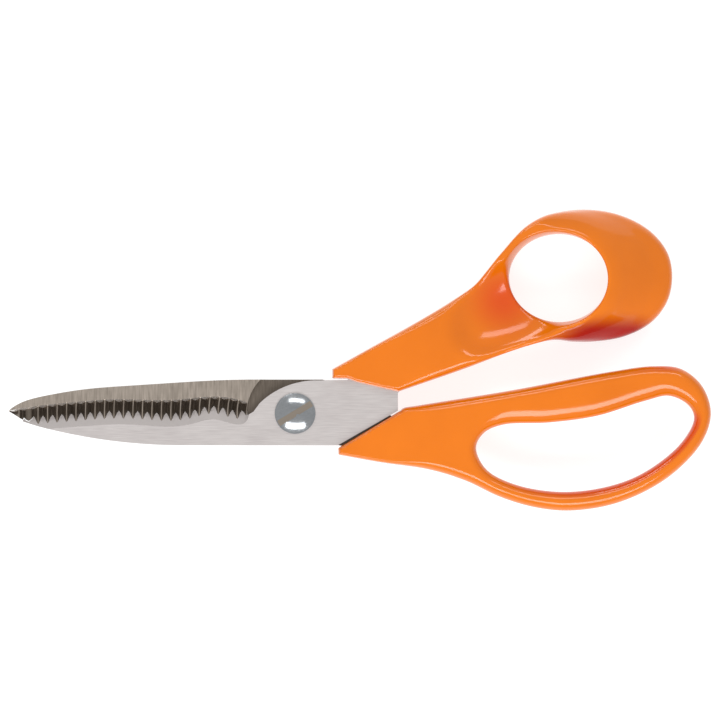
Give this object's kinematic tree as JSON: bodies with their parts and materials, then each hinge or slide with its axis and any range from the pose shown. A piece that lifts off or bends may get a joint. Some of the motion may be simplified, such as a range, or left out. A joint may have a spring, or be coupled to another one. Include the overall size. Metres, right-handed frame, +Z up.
{
  "type": "pinking shears",
  "caption": "Pinking shears with zigzag-toothed steel blades on a slotted pivot screw, and glossy orange handles with a slanted thumb loop and a long finger loop",
  "frame": {"origin": "centre of the base of the bounding box", "axes": "+X from the blade tips to the handles, +Y towards the thumb loop, +Z up out of the front face, with the shears lying on their back"},
  "size_m": [0.23, 0.0988, 0.02],
  "materials": {
    "front_steel": "fine brushed stainless steel",
    "rear_steel": "ground stainless steel, darker in the flutes",
    "orange_plastic": "glossy moulded plastic",
    "polished_steel": "polished steel",
    "washer_steel": "plain steel",
    "nut_steel": "turned steel"
  },
  "bodies": {
    "rear_half": {"rear_blade": "rear_steel", "finger_handle": "orange_plastic", "pivot_screw": "polished_steel", "bearing_washer": "washer_steel", "spring_washer": "washer_steel", "lock_nut": "nut_steel"},
    "front_half": {"front_blade": "front_steel", "thumb_handle": "orange_plastic"}
  },
  "joints": [
    {"name": "blade_pivot", "type": "hinge", "parent": "rear_half", "child": "front_half", "pos_m": [-0.0212, -0.01746, 0.0135], "axis": [0, 0, 1], "range_deg": [0, 80]}
  ]
}
